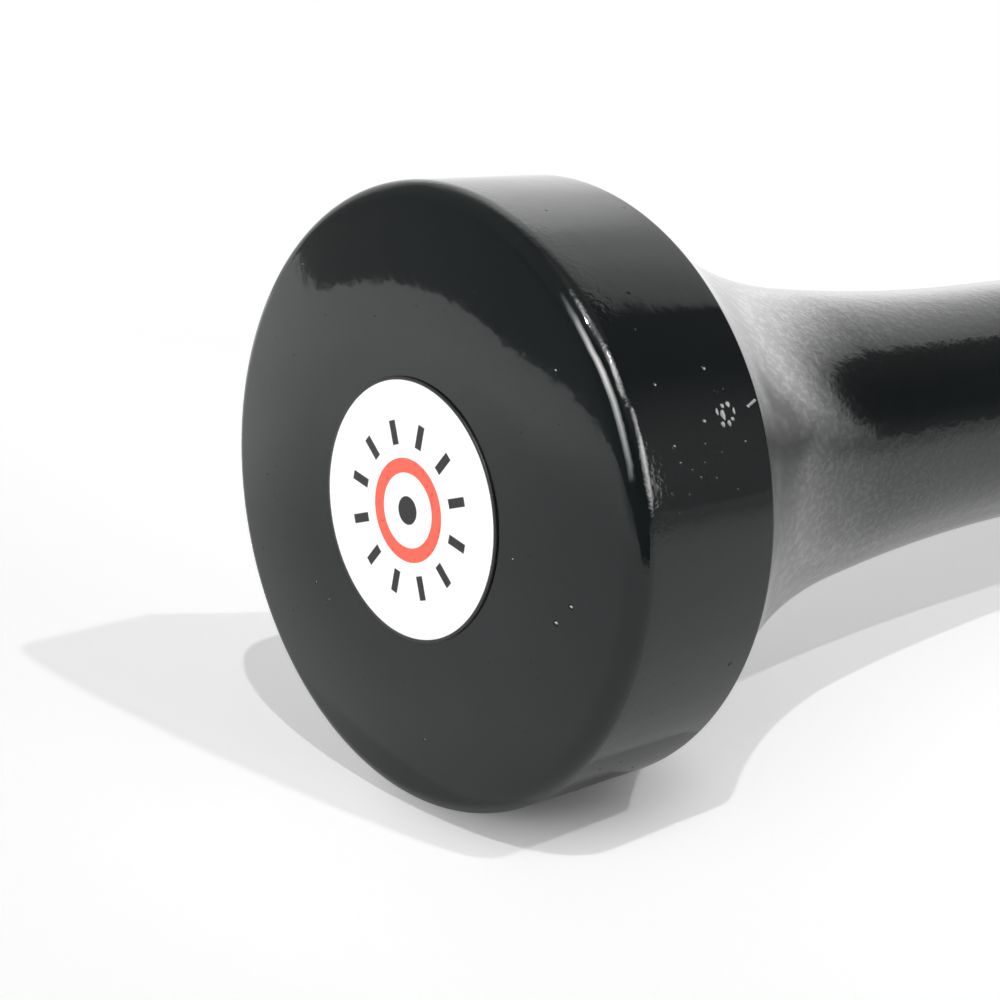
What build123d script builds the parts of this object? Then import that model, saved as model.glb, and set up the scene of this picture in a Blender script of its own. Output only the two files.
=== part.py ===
from build123d import *
from math import cos, hypot, radians, sin
import os

# A slim stick for training a batter's swing: one billet of hardwood turned on a lathe and lacquered
# black, with a round sticker on its knob. It lies along +X with +Z up. The origin is the centre of the
# knob's end, on the outer face of the sticker.

# ---- Driving dimensions, in millimetres and degrees ----

overall_length = 838.2  # outer face of the sticker to the tip of the barrel

knob_radius = 26.0
knob_thickness = 15.3  # flat of the knob's face to its rear rim
face_crown_drop = 0.9  # how far the crowned border falls back from the flat
face_edge_radius = 1.8  # rounding between the crowned border and the side
rim_edge_radius = 0.5  # the rear rim is left almost sharp

flare_length = 60.5  # rear rim to the straight grip
rim_angle = 35.7  # slope of the flare where it leaves the rim
throat_angle = 6.5  # slope where the flare's tight arc hands over to its long one

grip_radius = 12.7
grip_length = 165.0
taper_length = 315.0  # end of the grip to the start of the barrel
barrel_radius = 22.225
barrel_end_radius = 9.0  # rounding of the barrel's tip

sticker_radius = 10.9
sticker_thickness = 0.2
sticker_offset_y = -0.7  # the sticker was put on by hand, a little off the axis
sticker_offset_z = -0.3
sticker_margin = 2.2  # flat wood left bare outside the sticker, where it comes nearest to the border

# ---- The flat that carries the sticker, and the stations along the stick, each from the one before ----

face_x = sticker_thickness
face_flat_radius = hypot(sticker_offset_y, sticker_offset_z) + sticker_radius + sticker_margin
rim_x = face_x + knob_thickness
grip_start_x = rim_x + flare_length
grip_end_x = grip_start_x + grip_length
barrel_start_x = grip_end_x + taper_length


def flare_arc_radii():
    """Radii of the two arcs that make the flare, first the tight one at the rim, then the long one.

    Both bend the same way and share a tangent at throat_angle. Together they have to cover the flare's
    length along the axis and its drop from the knob's radius to the grip's, which is two linear
    equations in the two radii, solved here by Cramer's rule.
    """
    rim, throat = radians(rim_angle), radians(throat_angle)
    drop = knob_radius - grip_radius
    tight_run = sin(rim) - sin(throat)
    tight_fall = cos(throat) - cos(rim)
    long_run = sin(throat)
    long_fall = 1 - cos(throat)
    determinant = tight_run * long_fall - long_run * tight_fall
    tight_radius = (flare_length * long_fall - long_run * drop) / determinant
    long_radius = (tight_run * drop - tight_fall * flare_length) / determinant
    return tight_radius, long_radius


# ---- The turned stick: one closed half profile, revolved about the axis ----

tight_radius, long_radius = flare_arc_radii()

with BuildPart() as turned_stick:
    with BuildSketch() as half_profile:
        with BuildLine():
            face = Line((face_x, 0), (face_x, face_flat_radius))
            crown = TangentArc(face @ 1, (face_x + face_crown_drop, knob_radius), tangent=face % 1)
            side = Line(crown @ 1, (rim_x, knob_radius))
            rim_direction = Vector(1, 0).rotate(Axis.Z, -rim_angle)
            tight_arc = JernArc(side @ 1, rim_direction, tight_radius, rim_angle - throat_angle)
            long_arc = JernArc(tight_arc @ 1, tight_arc % 1, long_radius, throat_angle)
            grip = Line(long_arc @ 1, (grip_end_x, grip_radius))
            taper = Spline(grip @ 1, (barrel_start_x, barrel_radius), tangents=((1, 0), (1, 0)))
            barrel = Line(taper @ 1, (overall_length, barrel_radius))
            tip = Line(barrel @ 1, (overall_length, 0))
            Line(tip @ 1, face @ 0)
        make_face()
        corners = half_profile.vertices()
        fillet(corners.sort_by_distance(crown @ 1)[0], face_edge_radius)
        fillet(corners.sort_by_distance(side @ 1)[0], rim_edge_radius)
        fillet(corners.sort_by_distance(barrel @ 1)[0], barrel_end_radius)
    revolve(axis=Axis.X)
turned_stick.part.label = "turned_stick"

# ---- The sticker: a vinyl disc whose back lies on the flat of the knob ----

sticker_plane = Plane(origin=(face_x, sticker_offset_y, sticker_offset_z), z_dir=(-1, 0, 0))

with BuildPart() as knob_sticker:
    with BuildSketch(sticker_plane):
        Circle(sticker_radius)
    extrude(amount=sticker_thickness)
knob_sticker.part.label = "knob_sticker"

# ---- Files ----

os.makedirs("parts", exist_ok=True)
export_step(turned_stick.part, "parts/turned_stick.step")
export_step(knob_sticker.part, "parts/knob_sticker.step")
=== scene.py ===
from math import atan2, cos, pi, radians, sin, sqrt

import bpy
import numpy as np
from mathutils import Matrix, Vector


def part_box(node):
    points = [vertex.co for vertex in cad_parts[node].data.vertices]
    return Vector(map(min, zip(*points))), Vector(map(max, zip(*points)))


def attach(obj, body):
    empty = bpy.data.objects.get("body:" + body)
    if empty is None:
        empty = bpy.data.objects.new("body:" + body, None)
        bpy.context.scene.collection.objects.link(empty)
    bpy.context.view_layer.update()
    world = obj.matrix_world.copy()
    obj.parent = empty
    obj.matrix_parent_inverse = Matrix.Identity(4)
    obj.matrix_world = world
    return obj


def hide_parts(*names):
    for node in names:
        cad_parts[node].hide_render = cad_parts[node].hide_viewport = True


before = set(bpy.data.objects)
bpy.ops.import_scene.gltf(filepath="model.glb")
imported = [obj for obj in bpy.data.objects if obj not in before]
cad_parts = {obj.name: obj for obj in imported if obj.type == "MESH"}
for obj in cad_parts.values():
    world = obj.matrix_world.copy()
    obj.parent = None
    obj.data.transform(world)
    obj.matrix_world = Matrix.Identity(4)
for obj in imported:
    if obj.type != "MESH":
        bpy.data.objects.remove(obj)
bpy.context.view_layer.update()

# A slim stick for training a batter's swing, turned from one billet of hardwood and lacquered black,
# with a round vinyl sticker on its knob. It lies along +X. Everything is in metres.

MM = 0.001

# ---- Sizes of the turned stick: those of the frame where it has them, and the lathe's own ----

stick_low, stick_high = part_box("turned_stick")
sticker_low, sticker_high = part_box("knob_sticker")

FACE_X = stick_low.x
TIP_X = stick_high.x
KNOB_RADIUS = (stick_high.y - stick_low.y) / 2
KNOB_THICKNESS = 15.3 * MM
CROWN_DROP = 0.9 * MM
FACE_EDGE_RADIUS = 1.8 * MM
RIM_EDGE_RADIUS = 0.5 * MM
FLARE_LENGTH = 60.5 * MM
RIM_ANGLE = radians(35.7)
THROAT_ANGLE = radians(6.5)
GRIP_RADIUS = 12.7 * MM
GRIP_LENGTH = 165.0 * MM
TAPER_LENGTH = 315.0 * MM
BARREL_RADIUS = 22.225 * MM
BARREL_END_RADIUS = 9.0 * MM

STICKER_RADIUS = (sticker_high.y - sticker_low.y) / 2
STICKER_CENTRE_Y = (sticker_high.y + sticker_low.y) / 2
STICKER_CENTRE_Z = (sticker_high.z + sticker_low.z) / 2
STICKER_MARGIN = 2.2 * MM
STICKER_EDGE = 0.07 * MM

FLAT_RADIUS = sqrt(STICKER_CENTRE_Y**2 + STICKER_CENTRE_Z**2) + STICKER_RADIUS + STICKER_MARGIN
RIM_X = FACE_X + KNOB_THICKNESS
GRIP_START_X = RIM_X + FLARE_LENGTH
GRIP_END_X = GRIP_START_X + GRIP_LENGTH
BARREL_START_X = GRIP_END_X + TAPER_LENGTH

LATHE_SEGMENTS = 264
STICKER_SEGMENTS = 160


# ---- The half profile ----


def arc_points(centre, radius, start, end, count):
    """Points on a circle: centre plus radius times cosine and sine of an angle that runs evenly."""
    angle = np.linspace(start, end, count)
    return np.column_stack([centre[0] + radius * np.cos(angle), centre[1] + radius * np.sin(angle)])


def straight_points(start, end, count):
    """Points that run evenly from start to end."""
    share = np.linspace(0, 1, count)[:, None]
    return np.array(start) * (1 - share) + np.array(end) * share


def taper_points(count):
    """An S-shaped cubic from the grip to the barrel, which leaves both ends along the axis.

    At a share s the radius has risen by 3 s^2 - 2 s^3 of its whole rise. Along the axis the same rise
    gets the pull of both ends on top, (2 s^3 - 3 s^2 + s) times the chord over the length.
    """
    share = np.linspace(0, 1, count)
    chord = sqrt(TAPER_LENGTH**2 + (BARREL_RADIUS - GRIP_RADIUS) ** 2)
    pull = chord / TAPER_LENGTH
    rise = 3 * share**2 - 2 * share**3
    along = (share**3 - 2 * share**2 + share + share**3 - share**2) * pull + rise
    return np.column_stack(
        [
            GRIP_END_X + along * TAPER_LENGTH,
            GRIP_RADIUS + rise * (BARREL_RADIUS - GRIP_RADIUS),
        ]
    )


def flare_arc_radii():
    """Radii of the flare's two tangent arcs, whose runs add up to its length and falls to its drop."""
    tight_run = sin(RIM_ANGLE) - sin(THROAT_ANGLE)
    tight_fall = cos(THROAT_ANGLE) - cos(RIM_ANGLE)
    long_run = sin(THROAT_ANGLE)
    long_fall = 1 - cos(THROAT_ANGLE)
    both = np.array([[tight_run, long_run], [tight_fall, long_fall]])
    return np.linalg.solve(both, [FLARE_LENGTH, KNOB_RADIUS - GRIP_RADIUS])


def stick_profile():
    """The half profile from the middle of the knob's face to the middle of the barrel's end.

    Straight lines and circles, each tangent to the next but at the rear rim and the tip's flat:
    flat, crown, rounded edge, side, rim, tight and long arc of the flare, grip, taper, barrel, tip.
    """
    reach = KNOB_RADIUS - FLAT_RADIUS
    crown_radius = (reach**2 + CROWN_DROP**2) / (2 * CROWN_DROP)
    crown_centre = (FACE_X + crown_radius, FLAT_RADIUS)
    inner = crown_radius - FACE_EDGE_RADIUS
    climb = KNOB_RADIUS - FACE_EDGE_RADIUS - FLAT_RADIUS
    edge_x = crown_centre[0] - sqrt(inner**2 - climb**2)
    edge_turn = pi - atan2(climb, crown_centre[0] - edge_x)
    edge_centre = (edge_x, KNOB_RADIUS - FACE_EDGE_RADIUS)

    tight_radius, long_radius = flare_arc_radii()
    tight_centre = (
        RIM_X + tight_radius * sin(RIM_ANGLE),
        KNOB_RADIUS + tight_radius * cos(RIM_ANGLE),
    )
    below = tight_centre[1] - (KNOB_RADIUS - RIM_EDGE_RADIUS)
    rim_x = tight_centre[0] - sqrt((tight_radius + RIM_EDGE_RADIUS) ** 2 - below**2)
    rim_turn = atan2(below, tight_centre[0] - rim_x)
    long_centre = (GRIP_START_X, GRIP_RADIUS + long_radius)
    tip_centre = (TIP_X - BARREL_END_RADIUS, BARREL_RADIUS - BARREL_END_RADIUS)

    runs = [
        straight_points((FACE_X, 0), (FACE_X, FLAT_RADIUS), 14),
        arc_points(crown_centre, crown_radius, pi, edge_turn, 26),
        arc_points(edge_centre, FACE_EDGE_RADIUS, edge_turn, pi / 2, 26),
        straight_points((edge_x, KNOB_RADIUS), (rim_x, KNOB_RADIUS), 14),
        arc_points((rim_x, KNOB_RADIUS - RIM_EDGE_RADIUS), RIM_EDGE_RADIUS, pi / 2, rim_turn, 9),
        arc_points(tight_centre, tight_radius, pi + rim_turn, 1.5 * pi - THROAT_ANGLE, 72),
        arc_points(long_centre, long_radius, 1.5 * pi - THROAT_ANGLE, 1.5 * pi, 28),
        straight_points((GRIP_START_X, GRIP_RADIUS), (GRIP_END_X, GRIP_RADIUS), 22),
        taper_points(70),
        straight_points((BARREL_START_X, BARREL_RADIUS), (tip_centre[0], BARREL_RADIUS), 22),
        arc_points(tip_centre, BARREL_END_RADIUS, pi / 2, 0, 26),
        straight_points((TIP_X, tip_centre[1]), (TIP_X, 0), 8),
    ]
    return np.vstack([runs[0]] + [run[1:] for run in runs[1:]])


def sticker_profile():
    """The disc's half profile from the middle of its front, over a rounded edge, to that of its back."""
    corner = (sticker_low.x + STICKER_EDGE, STICKER_RADIUS - STICKER_EDGE)
    runs = [
        straight_points((sticker_low.x, 0), (sticker_low.x, corner[1]), 20),
        arc_points(corner, STICKER_EDGE, pi, pi / 2, 6),
        straight_points((corner[0], STICKER_RADIUS), (sticker_high.x, STICKER_RADIUS), 3),
        straight_points((sticker_high.x, STICKER_RADIUS), (sticker_high.x, 0), 6),
    ]
    return np.vstack([runs[0]] + [run[1:] for run in runs[1:]])


# ---- Meshes ----


def make_piece(name, corners, faces, slot_name, material):
    """A smooth mesh from an array of corners and arrays of quads and triangles."""
    mesh = bpy.data.meshes.new(name)
    mesh.from_pydata(corners.tolist(), [], [face for group in faces for face in group.tolist()])
    mesh.polygons.foreach_set("use_smooth", np.ones(len(mesh.polygons), dtype=bool))
    mesh.update()
    piece = bpy.data.objects.new(name, mesh)
    bpy.context.scene.collection.objects.link(piece)
    piece.data.materials.append(material)
    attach(piece, "root")
    return piece


def grid_quads(rows, wide):
    """The quads of an open grid of corners that are numbered row by row."""
    here = wide * np.arange(rows - 1)[:, None] + np.arange(wide - 1)
    return here.reshape(-1, 1) + np.array([0, 1, wide + 1, wide])


def unit(vectors):
    """The same directions, one long: each vector over the root of its squares' sum."""
    return vectors / np.linalg.norm(vectors, axis=-1, keepdims=True)


def turned_surface(profile, segments):
    """A closed surface of revolution about the X axis.

    A ring's corner is (x, r cos a, r sin a), with x and r from the profile and a running round evenly.
    The profile's two ends lie on the axis, and each is one corner with a fan of triangles.
    """
    turn = np.linspace(0, 2 * pi, segments, endpoint=False)
    inner = profile[1:-1]
    x = np.repeat(inner[:, :1], segments, axis=1)
    y = inner[:, 1:] * np.cos(turn)
    z = inner[:, 1:] * np.sin(turn)
    rings = np.stack([x, y, z], axis=-1).reshape(-1, 3)
    poles = np.array([[profile[0, 0], 0, 0], [profile[-1, 0], 0, 0]])
    corners = np.vstack([rings, poles])
    ring, step = np.meshgrid(np.arange(len(inner) - 1), np.arange(segments), indexing="ij")
    following = (step + 1) % segments
    here = ring * segments
    above = here + segments
    quads = np.stack([here + step, above + step, above + following, here + following], axis=-1)
    around = np.arange(segments)
    after = (around + 1) % segments
    last = (len(inner) - 1) * segments
    first_fan = np.column_stack([np.full(segments, len(rings)), around, after])
    last_fan = np.column_stack([np.full(segments, len(rings) + 1), last + after, last + around])
    return corners, [quads.reshape(-1, 4), first_fan, last_fan]


def grain_places(profile, segments):
    """A place in the grain for each corner: the stick unrolled onto a cylinder slimmer than the grip.

    Along it, the place grows by a share of the profile's own length, small at the rim and larger
    towards the grip; across it, it is the cylinder's radius times the cosine and sine of the turn.
    """
    cylinder_radius = 11 * MM
    stations = np.array([15, 18, 24, 32, 42, 60]) * MM
    shares = np.array([0.10, 0.13, 0.20, 0.32, 0.52, 0.75])
    share = np.interp(profile[:, 0], stations, shares)
    length = np.hypot(np.diff(profile[:, 0]), np.diff(profile[:, 1]))
    along = np.concatenate([[0], np.cumsum(length * (share[1:] + share[:-1]) / 2)])
    turn = np.linspace(0, 2 * pi, segments, endpoint=False)
    inner = np.repeat(along[1:-1, None], segments, axis=1)
    y = np.broadcast_to(cylinder_radius * np.cos(turn), inner.shape)
    z = np.broadcast_to(cylinder_radius * np.sin(turn), inner.shape)
    rings = np.stack([inner, y, z], axis=-1).reshape(-1, 3)
    return np.vstack([rings, [[along[0], 0, 0], [along[-1], 0, 0]]])


# ---- Node helpers ----


class Nodes:
    """Adds nodes to a tree and joins them, so that a finish reads as a list of steps."""

    def __init__(self, tree):
        self.tree = tree
        tree.nodes.clear()

    def add(self, kind, **settings):
        node = self.tree.nodes.new(kind)
        for name, value in settings.items():
            setattr(node, name, value)
        return node

    def plug(self, value, socket):
        if isinstance(value, bpy.types.NodeSocket):
            self.tree.links.new(value, socket)
        else:
            socket.default_value = value

    def math(self, operation, first, second=0.0, third=0.0):
        node = self.add("ShaderNodeMath", operation=operation)
        for value, socket in zip((first, second, third), node.inputs):
            self.plug(value, socket)
        return node.outputs[0]

    def step(self, value, low, high, out_low=0.0, out_high=1.0):
        """A smooth rise from out_low to out_high while value goes from low to high."""
        node = self.add("ShaderNodeMapRange", interpolation_type="SMOOTHSTEP")
        for number, item in enumerate((value, low, high, out_low, out_high)):
            self.plug(item, node.inputs[number])
        return node.outputs[0]

    def mix(self, share, first, second):
        node = self.add("ShaderNodeMix", data_type="FLOAT")
        for number, item in enumerate((share, first, second)):
            self.plug(item, (node.inputs[0], node.inputs[2], node.inputs[3])[number])
        return node.outputs[0]

    def mix_colour(self, share, first, second):
        node = self.add("ShaderNodeMix", data_type="RGBA")
        for number, item in enumerate((share, first, second)):
            self.plug(item, (node.inputs[0], node.inputs[6], node.inputs[7])[number])
        return node.outputs[2]

    def axes(self, place):
        """The X, Y and Z of a place."""
        node = self.add("ShaderNodeSeparateXYZ")
        self.plug(place, node.inputs[0])
        return node.outputs["X"], node.outputs["Y"], node.outputs["Z"]

    def distance(self, place, spot=(0, 0, 0)):
        """How far a place is from a spot."""
        node = self.add("ShaderNodeVectorMath", operation="DISTANCE")
        self.plug(place, node.inputs[0])
        node.inputs[1].default_value = spot
        return node.outputs["Value"]

    def noise(self, place, scale, detail=2.0, roughness=0.5):
        """A noise with about so many lumps to the metre."""
        node = self.add("ShaderNodeTexNoise")
        self.plug(place, node.inputs["Vector"])
        node.inputs["Scale"].default_value = scale
        node.inputs["Detail"].default_value = detail
        node.inputs["Roughness"].default_value = roughness
        return node.outputs["Fac"]

    def ramp(self, value, stops):
        """A grey that runs straight from stop to stop; stops are (place, brightness)."""
        node = self.add("ShaderNodeValToRGB")
        band = node.color_ramp
        band.elements.remove(band.elements[1])
        band.elements[0].position = stops[0][0]
        band.elements[0].color = (stops[0][1], stops[0][1], stops[0][1], 1)
        for place, level in stops[1:]:
            band.elements.new(place).color = (level, level, level, 1)
        self.plug(value, node.inputs[0])
        return node.outputs[0]

    def relief(self, height):
        """A bump from a height in metres."""
        node = self.add("ShaderNodeBump")
        node.inputs["Distance"].default_value = 1.0
        node.inputs["Strength"].default_value = 1.0
        self.plug(height, node.inputs["Height"])
        return node.outputs[0]

    def glow(self, strength):
        """A white light of a surface's own."""
        node = self.add("ShaderNodeEmission")
        node.inputs["Color"].default_value = (1, 1, 1, 1)
        self.plug(strength, node.inputs["Strength"])
        return node.outputs[0]

    def both(self, first, second):
        """Two shaders added up."""
        node = self.add("ShaderNodeAddShader")
        self.plug(first, node.inputs[0])
        self.plug(second, node.inputs[1])
        return node.outputs[0]

    def finish(self, kind, shader):
        """Ends the tree in an output node."""
        self.plug(shader, self.add(kind).inputs["Surface"])


def new_material(name):
    material = bpy.data.materials.new(name)
    material.use_nodes = True
    return material, Nodes(material.node_tree)


def principled(nodes):
    shader = nodes.add("ShaderNodeBsdfPrincipled")
    nodes.finish("ShaderNodeOutputMaterial", shader.outputs[0])
    return shader


# ---- Black lacquer ----


def lacquer_height(nodes, place, unrolled, along, grain_share):
    """The relief of the coat in metres: a sum of noises, each with its height on the knob and beyond.

    The broad swell stands highest on the knob, which was rubbed down between coats. From the flare on,
    orange peel, grain and flecks take over. Sanding left the knob's front corner rougher than the rest.
    """

    def layer(pattern, on_knob, from_flare_on):
        return nodes.math("MULTIPLY", pattern, nodes.mix(grain_share, on_knob, from_flare_on))

    swell = layer(nodes.noise(place, 480, 2, 0.5), 13e-6, 5e-6)
    peel = layer(nodes.noise(unrolled, 1000, 1, 0.4), 5e-6, 25e-6)
    grain = layer(nodes.noise(unrolled, 2200, 2, 0.5), 0.6e-6, 12e-6)
    fleck = layer(nodes.noise(unrolled, 3300, 1, 0.5), 0.0, 9e-6)
    enter = nodes.step(along, FACE_X + 1.2 * MM, FACE_X + 1.7 * MM)
    leave = nodes.step(along, FACE_X + 3.2 * MM, FACE_X + 5.4 * MM, 1, 0.10)
    corner_share = nodes.math("MULTIPLY", enter, leave)
    pimples = nodes.math("MULTIPLY", nodes.noise(place, 2300, 1, 0.5), corner_share)
    height = nodes.math("ADD", nodes.math("ADD", swell, peel), nodes.math("ADD", grain, fleck))
    return nodes.math("ADD", height, nodes.math("MULTIPLY", pimples, 15e-6))


def black_lacquer():
    material, nodes = new_material("black_lacquer_on_hardwood")
    shader = principled(nodes)
    place = nodes.add("ShaderNodeTexCoord").outputs["Object"]
    unrolled = nodes.add("ShaderNodeAttribute", attribute_name="grain_place").outputs["Vector"]
    along = nodes.axes(place)[0]
    # the open grain prints through from the flare on
    grain_share = nodes.step(along, RIM_X - 1 * MM, RIM_X + 10 * MM)

    tone = nodes.step(nodes.noise(unrolled, 260, 4, 0.6), 0.3, 0.7)
    colour = nodes.mix_colour(tone, (0.0040, 0.0060, 0.0064, 1), (0.0056, 0.0078, 0.0082, 1))
    nodes.plug(colour, shader.inputs["Base Color"])
    nodes.plug(nodes.mix(grain_share, 0.06, 0.11), shader.inputs["Roughness"])
    shader.inputs["IOR"].default_value = 1.5
    # in flecks between the pores the varnish stands thicker and shines more
    thick = nodes.step(nodes.noise(unrolled, 3000, 2, 0.6), 0.46, 0.62, 0, 0.26)
    fleck_share = nodes.math("MULTIPLY", grain_share, nodes.step(along, 42 * MM, 62 * MM, 1, 0.45))
    nodes.plug(nodes.math("MULTIPLY", thick, fleck_share), shader.inputs["Coat Weight"])
    shader.inputs["Coat Roughness"].default_value = 0.10

    relief = nodes.relief(lacquer_height(nodes, place, unrolled, along, grain_share))
    nodes.plug(relief, shader.inputs["Normal"])
    nodes.plug(relief, shader.inputs["Coat Normal"])
    return material


# ---- White vinyl with its printed target, a dot, a red ring and twelve ticks, and a black band round its edge ----

DOT_RADIUS = 1.18 * MM
RING_RADII = (3.1 * MM, 4.3 * MM)
TICK_RADII = (5.4 * MM, 7.4 * MM)
TICK_COUNT = 12
TICK_HALF_WIDTH = 0.39 * MM
BORDER_WIDTH = 0.29 * MM
INK_BLEED = 0.03 * MM


def printed_vinyl():
    material, nodes = new_material("white_vinyl_printed_target")
    shader = principled(nodes)
    place = nodes.add("ShaderNodeTexCoord").outputs["Object"]
    _, y, z = nodes.axes(place)
    side = nodes.math("SUBTRACT", y, STICKER_CENTRE_Y)
    up = nodes.math("SUBTRACT", z, STICKER_CENTRE_Z)
    squared = nodes.math("ADD", nodes.math("MULTIPLY", side, side), nodes.math("MULTIPLY", up, up))
    radius = nodes.math("SQRT", squared)

    def past(distance, edge):
        """0 up to an edge and 1 past it, with a smooth rise as wide as the ink bleeds."""
        return nodes.step(distance, edge - INK_BLEED, edge + INK_BLEED)

    def within(distance, edge):
        """1 up to an edge and 0 past it, with the same smooth fall."""
        return nodes.step(distance, edge - INK_BLEED, edge + INK_BLEED, 1, 0)

    def band(inner, outer):
        """1 between two radii, 0 elsewhere."""
        return nodes.math("MULTIPLY", past(radius, inner), within(radius, outer))

    # a tick's own angle runs from -1/2 to 1/2, and across it the distance is angle times radius
    turns = nodes.math("DIVIDE", nodes.math("ARCTAN2", up, side), 2 * pi)
    spokes = nodes.math("FRACT", nodes.math("MULTIPLY", turns, TICK_COUNT))
    spoke = nodes.math("ABSOLUTE", nodes.math("SUBTRACT", spokes, 0.5))
    across = nodes.math("MULTIPLY", nodes.math("MULTIPLY", spoke, 2 * pi / TICK_COUNT), radius)
    tick = nodes.math("MULTIPLY", within(across, TICK_HALF_WIDTH), band(*TICK_RADII))
    # a black band round the disc's edge
    border = past(radius, STICKER_RADIUS - BORDER_WIDTH)
    black = nodes.math("MAXIMUM", nodes.math("MAXIMUM", border, within(radius, DOT_RADIUS)), tick)

    mottle = nodes.noise(place, 1400, 3, 0.6)
    white = nodes.mix_colour(mottle, (0.915, 0.915, 0.91, 1), (0.935, 0.935, 0.93, 1))
    with_ring = nodes.mix_colour(band(*RING_RADII), white, (0.86, 0.115, 0.07, 1))
    with_black = nodes.mix_colour(black, with_ring, (0.016, 0.015, 0.015, 1))
    nodes.plug(with_black, shader.inputs["Base Color"])
    nodes.plug(nodes.step(mottle, 0.3, 0.7, 0.26, 0.36), shader.inputs["Roughness"])
    shader.inputs["IOR"].default_value = 1.5
    waves = nodes.math("MULTIPLY", nodes.noise(place, 500, 2, 0.5), 4e-6)
    nodes.plug(nodes.relief(waves), shader.inputs["Normal"])
    return material


# ---- Pieces ----

lacquer = black_lacquer()
profile = stick_profile()
stick = make_piece("lacquered_stick", *turned_surface(profile, LATHE_SEGMENTS), "black_lacquer", lacquer)
stick.data.attributes.new("grain_place", "FLOAT_VECTOR", "POINT").data.foreach_set(
    "vector", grain_places(profile, LATHE_SEGMENTS).ravel()
)
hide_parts("turned_stick")

sticker_corners, sticker_faces = turned_surface(sticker_profile(), STICKER_SEGMENTS)
sticker_corners = sticker_corners + np.array([0, STICKER_CENTRE_Y, STICKER_CENTRE_Z])
sticker = make_piece("round_vinyl_sticker", sticker_corners, sticker_faces, "white_vinyl", printed_vinyl())
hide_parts("knob_sticker")

# ---- Small flaws in the lacquer ----

# The face is read from the profile's first points, the side and what lies behind it from a later
# point on. Both cuts lie in the rounded edge between face and side.
FACE_POINTS = 52
SIDE_START = 60
SLOPE_STEP = 0.2 * MM

# a dome's rings by their share of the way from rim to top, and the share of it below the surface
DOME_SEGMENTS = 14
DOME_SHARES = np.array([0.0, 0.3, 0.55, 0.78])
DOME_SINK = 0.12

DUST_SEED = 7
DUST_ON_FACE = 60
DUST_ON_SIDE = 70


def side_spots(x, turn):
    """Points on the knob's side or flare and their outward normals, from x and the angle round the axis.

    With r from the profile, a point is (x, r cos a, r sin a), and its normal is (-dr/dx, cos a, sin a).
    """
    side = profile[SIDE_START:]
    radius = np.interp(x, side[:, 0], side[:, 1])
    slope = (np.interp(x + SLOPE_STEP, side[:, 0], side[:, 1]) - radius) / SLOPE_STEP
    places = np.stack([x, radius * np.cos(turn), radius * np.sin(turn)], axis=-1)
    return places, unit(np.stack([-slope, np.cos(turn), np.sin(turn)], axis=-1))


def face_spots(y, z):
    """Points on the knob's face and their outward normals, from their place across the face.

    With r the root of y^2 + z^2 and x from the profile, the normal is (-1, dx/dr y/r, dx/dr z/r).
    """
    face = profile[:FACE_POINTS]
    reach = np.hypot(y, z)
    x = np.interp(reach, face[:, 1], face[:, 0])
    slope = (np.interp(reach + SLOPE_STEP, face[:, 1], face[:, 0]) - x) / SLOPE_STEP
    normals = np.stack([-np.ones_like(x), slope * y / reach, slope * z / reach], axis=-1)
    return np.stack([x, y, z], axis=-1), unit(normals)


def flaws(spots, half_width, half_length, height, lean=(0, 0, 0)):
    """A row for each flaw: its place, its normal and its three sizes, which are given in millimetres.

    A lean is added to the normal, as on a flake that lifts at one side.
    """
    places, normals = spots
    sizes = [np.broadcast_to(size, len(places)) * MM for size in (half_width, half_length, height)]
    return np.column_stack([places, unit(normals + np.array(lean)), *sizes])


def domes(rows):
    """A closed lens for each flaw: rings of an ellipsoid cap, and a flat underside just below the surface.

    At a share q from rim to top and a turn a, a corner is its place, plus lengthways the half length
    times cos(q 90 deg) cos a, plus sideways the half width times cos(q 90 deg) sin a, plus along the
    normal the height times sin(q 90 deg) less the sink.
    """
    place = rows[:, None, None, 0:3]
    normal = rows[:, None, None, 3:6]
    half_width, half_length, height = (rows[:, None, None, number, None] for number in (6, 7, 8))
    sideways = np.cross(normal, (1, 0, 0))
    faces_forward = np.linalg.norm(sideways, axis=-1, keepdims=True) < 0.3
    sideways = unit(np.where(faces_forward, np.cross(normal, (0, 0, 1)), sideways))
    lengthways = np.cross(sideways, normal)
    turn = np.linspace(0, 2 * pi, DOME_SEGMENTS, endpoint=False)[:, None]
    climb = DOME_SHARES[:, None, None] * pi / 2
    rim = half_length * np.cos(turn) * lengthways + half_width * np.sin(turn) * sideways
    rings = place + np.cos(climb) * rim + (np.sin(climb) - DOME_SINK) * height * normal
    top = place + (1 - DOME_SINK) * height * normal
    bottom = place - DOME_SINK * height * normal
    corners = np.concatenate([part.reshape(len(rows), -1, 3) for part in (rings, top, bottom)], axis=1)

    step = np.arange(DOME_SEGMENTS)
    after = (step + 1) % DOME_SEGMENTS
    ring = DOME_SEGMENTS * np.arange(len(DOME_SHARES) - 1)[:, None, None]
    quads = ring + np.column_stack([step, DOME_SEGMENTS + step, DOME_SEGMENTS + after, after])
    peak = DOME_SEGMENTS * len(DOME_SHARES)
    last = peak - DOME_SEGMENTS
    top_fan = np.column_stack([last + step, np.full(DOME_SEGMENTS, peak), last + after])
    bottom_fan = np.column_stack([step, after, np.full(DOME_SEGMENTS, peak + 1)])
    start = corners.shape[1] * np.arange(len(rows))[:, None, None]
    all_quads = start + quads.reshape(-1, 4)
    all_triangles = start + np.vstack([top_fan, bottom_fan])
    return corners.reshape(-1, 3), [all_quads.reshape(-1, 4), all_triangles.reshape(-1, 3)]


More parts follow.
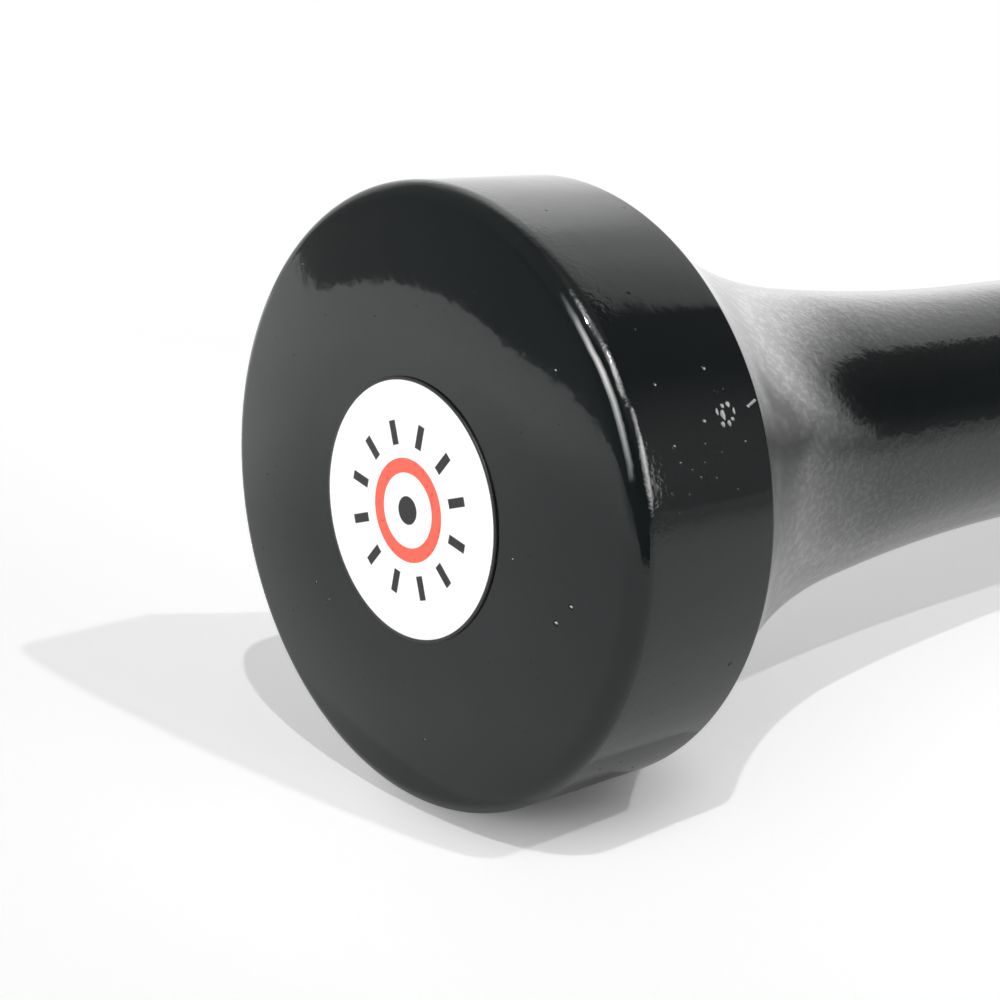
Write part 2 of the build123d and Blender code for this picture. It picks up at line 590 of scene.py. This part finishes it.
def lacquer_nibs():
    """Dust caught in the coat, a small burst blister on the knob's side and a nick at its rear rim."""
    flake_lean = (-0.19, -0.03, -0.15)
    speck_lean = (0, -0.81, 0.52)
    # eight lifted flakes round a hollow: x, turn, half width, half length
    blister = np.array(
        [
            (10.75, 158.5, 0.38, 0.20), (11.25, 159.3, 0.56, 0.32), (11.05, 160.7, 0.32, 0.28),
            (11.75, 160.7, 0.34, 0.26), (12.05, 157.5, 0.30, 0.30), (12.55, 158.8, 0.38, 0.19),
            (12.20, 160.0, 0.22, 0.26), (11.45, 157.6, 0.24, 0.26),
        ]
    )
    # a nick that runs back to the rear rim: x, turn
    nick = np.array([(14.20, 158.3), (14.42, 158.1), (14.64, 157.9), (14.86, 157.7), (15.05, 157.5)])
    # nibs on the side: x, turn, size
    side = np.array(
        [
            (10.8, 150.8, 0.20), (5.3, 152.4, 0.15), (9.2, 159.6, 0.20), (5.6, 162.8, 0.16),
            (5.9, 165.6, 0.14), (6.9, 135.6, 0.20), (13.1, 164.0, 0.12), (7.8, 168.5, 0.13),
            (11.6, 171.5, 0.11), (4.6, 170.2, 0.13), (7.0, 167.0, 0.10), (8.4, 166.2, 0.09),
            (6.4, 170.8, 0.10), (9.4, 169.0, 0.11), (5.2, 173.4, 0.09), (10.4, 165.0, 0.09),
            (7.5, 174.2, 0.08), (8.8, 163.2, 0.09),
        ]
    )
    # one high nib by itself: x, turn
    lone = np.array([(13.5, 204.0)])
    # specks on the face: y, z, size
    face = np.array(
        [
            (-18.11, -6.03, 0.30), (-19.66, -4.47, 0.28), (-13.32, -1.97, 0.16), (12.47, -8.93, 0.15),
            (10.62, -10.11, 0.14), (-2.19, -19.50, 0.17), (-17.63, 12.99, 0.20), (14.26, 18.51, 0.16),
        ]
    )

    def on_side(table):
        return side_spots(table[:, 0] * MM, np.radians(table[:, 1]))

    rows = [
        flaws(on_side(blister), blister[:, 2], blister[:, 3], 0.024, flake_lean),
        flaws(on_side(nick), 0.15, 0.22, 0.014, flake_lean),
        flaws(on_side(side), side[:, 2], side[:, 2] * 1.2, side[:, 2] * 0.16, flake_lean),
        flaws(on_side(lone), 0.20, 0.26, 0.10),
        flaws(face_spots(*face[:, :2].T * MM), face[:, 2], face[:, 2], face[:, 2] * 0.3, speck_lean),
    ]

    # fine dust: on the outer part of the face, and on the side in four stretches of its turn
    chance = np.random.default_rng(DUST_SEED)
    share = chance.random((DUST_ON_FACE, 3)).T
    reach = 15 * MM + 9 * MM * share[0]
    turn = 2 * pi * share[1]
    size = 0.04 + 0.05 * share[2]
    rows.append(flaws(face_spots(reach * np.cos(turn), reach * np.sin(turn)), size, size, size * 0.7))
    draws = [
        (chance.random(), chance.random(), chance.integers(4), chance.random())
        for _ in range(DUST_ON_SIDE)
    ]
    share = np.array(draws).T
    x = (4.5 + 10 * share[0]) * MM
    turn = np.radians(15 + 60 * share[1]) + pi / 2 * share[2]
    size = 0.04 + 0.06 * share[3]
    rows.append(flaws(side_spots(x, turn), size, size * 1.3, size * 0.4))
    return make_piece("lacquer_nibs", *domes(np.vstack(rows)), "black_lacquer", lacquer)


lacquer_nibs()

# ---- Floor: a sheet of paper, which the stick touches a little to one side of straight below ----

FLOOR_TURN = radians(-2.08)
FLOOR_SLOPE = 0.0419
RIPPLE_START = (-0.035, -0.015)
RIPPLE_END = (0.085, 0.125)

# the sheet's rows: y, and the x at which its left edge lies there
FLOOR_ROWS = np.array(
    [
        (-0.90, -0.95), (0.030, -0.95), (0.064, -0.80), (0.110, -0.39), (0.118, -0.233),
        (0.150, -0.263), (0.197, -0.312), (0.241, -0.325), (0.309, -0.330), (0.363, -0.360),
        (0.460, -0.405), (0.535, -0.415), (0.575, -0.375), (0.600, -0.345), (0.650, -0.372),
        (0.787, -0.428), (1.190, -0.611), (1.985, -0.997), (6.0, -2.95),
    ]
)

KNOB_FOOT = (13 * MM, -3 * MM, -KNOB_RADIUS)
FADE_START = 0.08


def floor_heights(x):
    """Heights of the sheet's ripple: level, a gentle even climb under the knob and flare, level again.

    The slope rises and falls as 3 s^2 - 2 s^3 over the ripple's start and end, s being the share of
    the way through either, and a height is the slope's running sum, level with the knob at its rim.
    """
    fine = np.linspace(-0.06, 0.16, 441)
    rise_in = np.clip((fine - RIPPLE_START[0]) / (RIPPLE_START[1] - RIPPLE_START[0]), 0, 1)
    rise_out = np.clip((fine - RIPPLE_END[0]) / (RIPPLE_END[1] - RIPPLE_END[0]), 0, 1)
    slope = FLOOR_SLOPE * (3 * rise_in**2 - 2 * rise_in**3) * (1 - 3 * rise_out**2 + 2 * rise_out**3)
    height = np.concatenate([[0], np.cumsum((slope[1:] + slope[:-1]) / 2 * np.diff(fine))])
    height = height - np.interp(RIM_X, fine, height) - KNOB_RADIUS
    return np.interp(x, fine, height)


def painted_floor_glow(nodes, place, in_gloss):
    """How strongly the paper glows, though it is no lamp: painted light that lifts the floor's shadows,
    held low under the knob, which paints shade round its foot.

    The glow grows with the distance from the knob's foot, and a little more along the flare. The gloss sees
    a share of it as a painted reflection: more under the grip, far to the left and in front, less near the
    foot.
    """
    x, y, _ = nodes.axes(place)
    from_foot = nodes.distance(place, KNOB_FOOT)
    strength = nodes.step(from_foot, 4 * MM, 17 * MM, 0.03, 0.355)
    more = nodes.step(y, -25 * MM, 5 * MM, 0.12, 0.08)
    more = nodes.math("MULTIPLY", nodes.step(x, -10 * MM, 60 * MM), more)
    strength = nodes.math("ADD", strength, more)

    behind = nodes.step(y, -22 * MM, -8 * MM)
    under_grip = nodes.math("MULTIPLY", nodes.step(x, 45 * MM, 80 * MM), behind)
    beside = nodes.step(x, 0, 60 * MM, 1, 0)
    at_left = nodes.math("MULTIPLY", nodes.step(y, 70 * MM, 170 * MM), beside)
    in_front = nodes.step(x, -180 * MM, -110 * MM, 0.5, 0)
    near_foot = nodes.step(from_foot, 10 * MM, 35 * MM, 0.45, 1)
    share = nodes.math("MULTIPLY_ADD", under_grip, 0.12, 0.75)
    share = nodes.math("MULTIPLY_ADD", at_left, 0.9, share)
    share = nodes.math("MULTIPLY", near_foot, nodes.math("ADD", in_front, share))
    return nodes.math("MULTIPLY", strength, nodes.mix(in_gloss, 1.0, share))


def camera_fade(nodes, place):
    """The share of white that the camera sees: it starts round the knob and follows the stick to its tip.

    Past the flare, the way along the stick no longer counts, and the way across it counts up to 2.6
    times, so that the white comes closer.
    """
    x, y, _ = nodes.axes(place)
    past_flare = nodes.math("MAXIMUM", nodes.math("SUBTRACT", x, FADE_START), 0.0)
    skipped = nodes.math("MINIMUM", past_flare, TIP_X - FADE_START)
    closer = nodes.math("MULTIPLY_ADD", nodes.step(past_flare, 0.0, 0.12), 1.6, 1.0)
    from_stick = nodes.add("ShaderNodeCombineXYZ")
    nodes.plug(nodes.math("SUBTRACT", x, skipped), from_stick.inputs["X"])
    nodes.plug(nodes.math("MULTIPLY", y, closer), from_stick.inputs["Y"])
    return nodes.step(nodes.distance(from_stick.outputs[0]), 0.09, 0.34)


def pale_paper():
    material, nodes = new_material("pale_paper")
    place = nodes.add("ShaderNodeTexCoord").outputs["Object"]
    rays = nodes.add("ShaderNodeLightPath")
    in_gloss = rays.outputs["Is Glossy Ray"]

    diffuse = nodes.add("ShaderNodeBsdfDiffuse")
    mottle = nodes.noise(place, 60, 3, 0.5)
    paper = nodes.mix_colour(mottle, (0.925, 0.925, 0.925, 1), (0.935, 0.935, 0.935, 1))
    # the gloss sees the paper darker than the camera does: a painted reflection
    nodes.plug(nodes.mix_colour(in_gloss, paper, (0.71, 0.71, 0.71, 1)), diffuse.inputs["Color"])
    # the paper's painted light: a glow that lifts its shadows, least at the knob's foot
    near = nodes.both(diffuse.outputs[0], nodes.glow(painted_floor_glow(nodes, place, in_gloss)))

    # far off it fades: to white for the camera, and for the gloss to a glow that paints the reflection of
    # the room's light beyond
    distance = nodes.distance(place)
    sideways = nodes.math("DIVIDE", nodes.axes(place)[1], distance)
    beyond = nodes.step(sideways, -0.4, 0.7, 0.45, 1.15)
    far = nodes.glow(nodes.mix(in_gloss, 1.0, beyond))
    camera_share = nodes.math("MULTIPLY", camera_fade(nodes, place), rays.outputs["Is Camera Ray"])
    gloss_share = nodes.math("MULTIPLY", nodes.step(distance, 0.10, 0.42), in_gloss)
    blend = nodes.add("ShaderNodeMixShader")
    nodes.plug(nodes.math("ADD", camera_share, gloss_share), blend.inputs[0])
    nodes.plug(near, blend.inputs[1])
    nodes.plug(far, blend.inputs[2])
    nodes.finish("ShaderNodeOutputMaterial", blend.outputs[0])
    return material


def make_floor():
    """The sheet as rows across x, each from the table's edge on the left to the wall on the right.

    A corner is (x, y, height at x), turned about the X axis by the floor's turn.
    """
    inner = np.concatenate([np.linspace(-0.06, 0.16, 111), [0.3, 0.9, 6.0]])
    rows = len(FLOOR_ROWS)
    wide = len(inner) + 1
    x = np.column_stack([FLOOR_ROWS[:, 1], np.tile(inner, (rows, 1))])
    y = np.repeat(FLOOR_ROWS[:, :1], wide, axis=1)
    z = floor_heights(x)
    across = y * cos(FLOOR_TURN) + z * sin(FLOOR_TURN)
    up = z * cos(FLOOR_TURN) - y * sin(FLOOR_TURN)
    corners = np.stack([x, across, up], axis=-1).reshape(-1, 3)
    mesh = bpy.data.meshes.new("floor_sheet")
    mesh.from_pydata(corners.tolist(), [], grid_quads(rows, wide).tolist())
    mesh.polygons.foreach_set("use_smooth", np.ones(len(mesh.polygons), dtype=bool))
    floor = bpy.data.objects.new("floor_sheet", mesh)
    floor.data.materials.append(pale_paper())
    bpy.context.scene.collection.objects.link(floor)


make_floor()

# ---- Lamps: two small ones, whose shadows cross under the knob ----

# the strength at which a lamp of constant falloff, straight above, lights a white sheet to a level of 1
LAMP_UNIT = 4 * pi * pi


def towards(azimuth, elevation):
    """A direction: azimuth in degrees from +Y towards +X, elevation above the horizon."""
    a, e = radians(azimuth), radians(elevation)
    return Vector((sin(a) * cos(e), cos(a) * cos(e), sin(e)))


def small_lamp(name, lean, distance, floor_share, size):
    """A bulb at a distance, on a line from the knob's foot that leans by so much in X and Y per rise."""
    upright = Vector((lean[0], lean[1], 1)).normalized()
    y = upright.y * cos(FLOOR_TURN) + upright.z * sin(FLOOR_TURN)
    z = upright.z * cos(FLOOR_TURN) - upright.y * sin(FLOOR_TURN)
    lamp = bpy.data.lights.new(name, "POINT")
    lamp.energy = 1.0
    lamp.shadow_soft_size = size
    lamp.use_nodes = True
    nodes = Nodes(lamp.node_tree)
    # constant falloff: the same share of light over the whole sheet
    steady = nodes.add("ShaderNodeLightFalloff")
    steady.inputs["Strength"].default_value = floor_share * LAMP_UNIT / upright.z
    nodes.finish("ShaderNodeOutputLight", nodes.glow(steady.outputs["Constant"]))
    lamp_object = bpy.data.objects.new(name, lamp)
    lamp_object.location = Vector((upright.x, y, z)) * distance
    bpy.context.scene.collection.objects.link(lamp_object)


small_lamp("lamp_beside", (0.1282, -0.8345), 0.602, 0.15, 6 * MM)
small_lamp("lamp_above", (-0.3454, -0.4795), 0.568, 0.215, 5 * MM)

# ---- Cards, seen only in the gloss: painted reflections, which glow though they are no lamps ----


def card(name, rows, place):
    """A card of rows of (azimuth, elevation, glow, cover), in the order of place(azimuth, elevation).

    Only the gloss sees it, as a painted reflection. It glows by its glow, though it is no lamp, and hides
    its cover's share of what is behind.
    """
    corners = [tuple(place(azimuth, elevation)) for row in rows for azimuth, elevation, _, _ in row]
    mesh = bpy.data.meshes.new(name)
    mesh.from_pydata(corners, [], grid_quads(len(rows), len(rows[0])).tolist())
    for number, attribute in ((2, "glow"), (3, "cover")):
        values = [corner[number] for row in rows for corner in row]
        mesh.attributes.new(attribute, "FLOAT", "POINT").data.foreach_set("value", values)
    panel = bpy.data.objects.new(name, mesh)
    bpy.context.scene.collection.objects.link(panel)
    material, nodes = new_material(name)
    glow = nodes.add("ShaderNodeAttribute", attribute_name="glow").outputs["Fac"]
    cover = nodes.add("ShaderNodeAttribute", attribute_name="cover").outputs["Fac"]
    clear = nodes.add("ShaderNodeBsdfTransparent")
    nodes.plug(nodes.math("SUBTRACT", 1.0, cover), clear.inputs["Color"])
    nodes.finish("ShaderNodeOutputMaterial", nodes.both(nodes.glow(glow), clear.outputs[0]))
    panel.data.materials.append(material)
    panel.visible_camera = False
    panel.visible_diffuse = False
    panel.visible_shadow = False


def far_off(azimuth, elevation):
    """A place 3 m from the knob."""
    return towards(azimuth, elevation) * 3


def near_the_edge(azimuth, elevation):
    """A place 60 mm from the front edge of the knob's side."""
    return Vector((1.4, -25.3, 2.5)) * MM + towards(azimuth, elevation) * 60 * MM


def window_band(name, rows):
    """A slanted band of painted light far off, which only the gloss sees as a window's reflection,
    brightest along its middle: rows of three directions and a level.
    """
    cards = []
    for left, middle, right, level in rows:
        cards.append([(*left, 0.0, 0.0), (*middle, level, 0.0), (*right, 0.0, 0.0)])
    card(name, cards, far_off)


window_band(
    "window_left_reflection",
    [
        ((-115, 3), (-136, 7), (-150, 9), 1.0),
        ((-115, 7), (-135, 11), (-149, 13), 5.5),
        ((-109, 12), (-129, 18), (-144, 21), 10.0),
        ((-107, 19), (-127, 26.5), (-143, 31), 13.5),
        ((-100, 23), (-118, 32), (-136, 38.5), 20.0),
        ((-90, 23), (-107, 33), (-124, 41.6), 17.0),
        ((-86, 25), (-101, 36.4), (-117, 45.8), 11.0),
        ((-83, 27), (-97, 39.3), (-113, 49.5), 4.0),
        ((-77, 29), (-88, 41), (-100, 51.6), 0.0),
    ],
)
window_band(
    "window_right_low_reflection",
    [
        ((158, -1), (141, -2), (136, -2), 0.0),
        ((163, 2), (143, 1), (136, 1), 4.5),
        ((172, 7), (147, 6), (135.6, 4.5), 9.5),
        ((178, 15), (150, 14), (136, 11), 12.0),
        ((174, 19.5), (148, 17.5), (136, 14.5), 13.0),
        ((168, 25), (149, 22.5), (137, 20), 8.0),
        ((170, 31), (150, 28), (136, 25), 8.0),
        ((178, 34), (158, 31.5), (140, 28), 1.0),
    ],
)
window_band(
    "window_right_high_reflection",
    [
        ((190, 34), (168, 33), (145, 30), 2.0),
        ((200, 36), (179, 37), (155, 34.5), 7.0),
        ((201, 39), (179, 40), (154, 37.6), 11.0),
        ((199, 43), (176, 44), (151, 41), 16.0),
        ((203, 50), (177, 51), (150, 48), 9.0),
        ((209, 51.5), (181, 54.3), (153.5, 51.5), 3.5),
        ((215, 54.5), (187, 58), (157, 56), 2.6),
        ((222, 56.5), (192, 61), (159, 60), 7.0),
        ((229, 58), (200, 64.5), (164, 64.5), 9.0),
        ((234, 62), (210, 67.7), (166, 69), 3.0),
        ((245, 62), (218, 70.6), (171, 73), 0.0),
    ],
)
# a dark figure in front of the bright room, painted into the gloss alone as a dark reflection: azimuth,
# lower and upper edge, and cover at the lower edge
FIGURE_GLOW = 0.08
FIGURE_HEM = 4
figure = [
    (-101, 2.1, 7, 1), (-115, 0.0, 6, 1), (-122, -4.0, 5, 1), (-132, -7.8, 4, 1), (-143, -12.3, 3, 1),
    (-150, -16.0, 2, 0.85), (-160, -18.0, 1.5, 0.45), (-172, -20.0, 1, 0), (-194, -20.0, 0, 0),
]
card(
    "dark_figure_reflection",
    [
        [(azimuth, low, FIGURE_GLOW * cover, cover) for azimuth, low, _, cover in figure],
        [(azimuth, low + FIGURE_HEM, FIGURE_GLOW, 1) for azimuth, low, _, _ in figure],
        [(azimuth, high, FIGURE_GLOW, 1) for azimuth, _, high, _ in figure],
    ],
    near_the_edge,
)

# ---- World ----

# levels of the room at five heights: degrees round it, and the level that the gloss sees there, of
# which 1 is plain white
HORIZON = [
    (-180, 0.08), (-110, 0.08), (-80, 0.13), (-52, 0.21), (-38, 0.27), (-20, 0.38), (5, 0.55),
    (40, 1.20), (55, 1.14), (62, 0.96), (70, 0.86), (82, 0.76), (89, 0.68), (93.5, 0.52), (97, 0.12),
    (118, 0.12), (128, 0.30), (140, 0.34), (160, 0.10), (180, 0.08),
]
LOW = [
    (-180, 0.08), (-150, 0.03), (-97, 0.09), (-76, 0.13), (-50, 0.22), (-30, 0.26), (-8, 0.26),
    (-2, 0.62), (12, 0.74), (28, 0.90), (38, 1.20), (48, 1.55), (60, 1.71), (70, 1.84), (77, 1.66),
    (84, 1.22), (90, 0.78), (93.2, 0.58), (94.8, 0.07), (118, 0.05), (127, 0.30), (138, 0.38),
    (158, 0.10), (180, 0.08),
]
MIDDLE = [
    (-180, 0.30), (-150, 0.05), (-112, 0.12), (-84, 0.30), (-30, 0.28), (-12, 0.28), (-4, 0.50),
    (6, 0.72), (14, 0.86), (26, 1.35), (44, 1.70), (50, 1.56), (56, 1.16), (64, 1.03), (74, 1.02),
    (84, 0.84), (91, 0.72), (93.2, 0.62), (94.8, 0.12), (130, 0.13), (150, 0.15), (180, 0.30),
]
HIGH = [
    (-180, 0.45), (-150, 0.36), (-120, 0.25), (-70, 0.30), (-15, 0.31), (0, 0.44), (12, 0.66),
    (24, 1.12), (36, 1.58), (50, 1.72), (60, 1.42), (68, 1.20), (78, 0.98), (90, 0.72),
    (98, 0.60), (104, 0.34), (135, 0.28), (150, 0.30), (180, 0.45),
]
ZENITH = [
    (-180, 0.50), (-120, 0.34), (-60, 0.22), (-20, 0.28), (20, 0.58), (60, 0.60), (100, 0.34),
    (180, 0.50),
]
# the bright wall ends in an edge that leans over with height: elevation, and the lean in degrees
LOW_LEAN = [
    (-10, 16), (1.8, 14), (5.1, 9.5), (8.9, 5), (11.9, 1.2), (15.1, -1.8), (18.7, -3), (22, -1.6), (27, 0),
]
HIGH_LEAN = [(28.4, 0), (31, 4), (40, 12.5), (42, 12.5), (45.5, 8), (50, 0)]
# a white sweep climbs from the horizon at the left of the wall: degrees round, and its upper edge
SWEEP_EDGE = [(-90, -35), (-29, -35), (-28, 0.5), (-24, 2.6), (-18, 4), (-9, 8), (-3, 10), (3, -35)]
SWEEP_LEVEL = 0.90

MATT_LEVEL = 0.15
MATT_GLOW_IN_FRONT = 3.6
MATT_GLOW_ELEVATION = 8


def read_table(nodes, value, table, ends, levels):
    """A table's level, straight from stop to stop; value is the share of the way between its ends.

    The ramp holds only 0 to 1, so the levels are put in as shares of the way between the two given.
    """
    span = levels[1] - levels[0]
    stops = [
        ((place - ends[0]) / (ends[1] - ends[0]), (level - levels[0]) / span) for place, level in table
    ]
    return nodes.math("MULTIPLY_ADD", nodes.ramp(value, stops), span, levels[0])


def room_seen_in_gloss(nodes, azimuth, elevation):
    """The room's level in a direction: five rings of levels, one over the other, and the white sweep."""
    by_height = nodes.math("MULTIPLY_ADD", elevation, 1 / 180, 0.5)
    low_lean = read_table(nodes, by_height, LOW_LEAN, (-90, 90), (-10, 30))
    high_lean = read_table(nodes, by_height, HIGH_LEAN, (-90, 90), (-10, 30))
    at_edge = nodes.math("MULTIPLY", nodes.step(azimuth, 30, 60), nodes.step(azimuth, 116, 127, 1, 0))
    lean = nodes.math("MULTIPLY_ADD", low_lean, at_edge, high_lean)
    plain_turn = nodes.math("MULTIPLY_ADD", azimuth, 1 / 360, 0.5)
    leaning_turn = nodes.math("MULTIPLY_ADD", nodes.math("SUBTRACT", azimuth, lean), 1 / 360, 0.5)

    def ring(turn, table):
        top = max(level for _, level in table)
        return read_table(nodes, turn, table, (-180, 180), (0, top))

    room = ring(leaning_turn, HORIZON)
    room = nodes.mix(nodes.step(elevation, 1, 7), room, ring(leaning_turn, LOW))
    room = nodes.mix(nodes.step(elevation, 14, 34), room, ring(leaning_turn, MIDDLE))
    room = nodes.mix(nodes.step(elevation, 46, 50), room, ring(plain_turn, HIGH))
    room = nodes.mix(nodes.step(elevation, 64, 80), room, ring(plain_turn, ZENITH))
    sweep_edge = read_table(nodes, plain_turn, SWEEP_EDGE, (-180, 180), (-35, 65))
    above = nodes.math("SUBTRACT", elevation, sweep_edge)
    return nodes.math("MAXIMUM", room, nodes.step(above, -0.4, 0.4, SWEEP_LEVEL, 0))


def light_on_matt(nodes, x, elevation):
    """A plain level, with a soft glow from in front of the knob's face."""
    in_front = nodes.step(nodes.math("MULTIPLY", x, -1), 0.45, 0.95)
    from_middle = nodes.math("ABSOLUTE", nodes.math("SUBTRACT", elevation, MATT_GLOW_ELEVATION))
    glow = nodes.math("MULTIPLY", in_front, nodes.step(from_middle, 6, 22, 1, 0))
    return nodes.math("MULTIPLY_ADD", glow, MATT_GLOW_IN_FRONT, MATT_LEVEL)


def make_world():
    """The light from all round: a room in the gloss, a plain light on matt surfaces, plain white behind."""
    world = bpy.data.worlds.new("studio")
    bpy.context.scene.world = world
    world.use_nodes = True
    nodes = Nodes(world.node_tree)
    x, y, z = nodes.axes(nodes.add("ShaderNodeTexCoord").outputs["Generated"])
    azimuth = nodes.math("MULTIPLY", nodes.math("ARCTAN2", x, y), 180 / pi)
    elevation = nodes.math("MULTIPLY", nodes.math("ARCSINE", z), 180 / pi)
    room = room_seen_in_gloss(nodes, azimuth, elevation)
    plain = light_on_matt(nodes, x, elevation)

    rays = nodes.add("ShaderNodeLightPath")
    background = nodes.add("ShaderNodeBackground")
    background.inputs["Color"].default_value = (1, 1, 1, 1)
    level = nodes.mix(rays.outputs["Is Glossy Ray"], plain, room)
    level = nodes.mix(rays.outputs["Is Transmission Ray"], level, room)
    level = nodes.mix(rays.outputs["Is Camera Ray"], level, 1.0)
    nodes.plug(level, background.inputs["Strength"])
    nodes.finish("ShaderNodeOutputWorld", background.outputs[0])


make_world()

# ---- Camera ----

CAMERA_PLACE = (-91.035 * MM, -116.545 * MM, 32.869 * MM)
CAMERA_AZIMUTH = 41.07
CAMERA_ELEVATION = -12.38

camera_data = bpy.data.cameras.new("camera")
camera_data.sensor_width = 36.0
camera_data.lens = 67.25
camera_data.clip_start = 0.01
camera = bpy.data.objects.new("camera", camera_data)
camera.location = CAMERA_PLACE
camera.rotation_mode = "QUATERNION"
camera.rotation_quaternion = towards(CAMERA_AZIMUTH, CAMERA_ELEVATION).to_track_quat("-Z", "Y")
bpy.context.scene.collection.objects.link(camera)
bpy.context.scene.camera = camera
bpy.context.scene.view_settings.view_transform = "Standard"
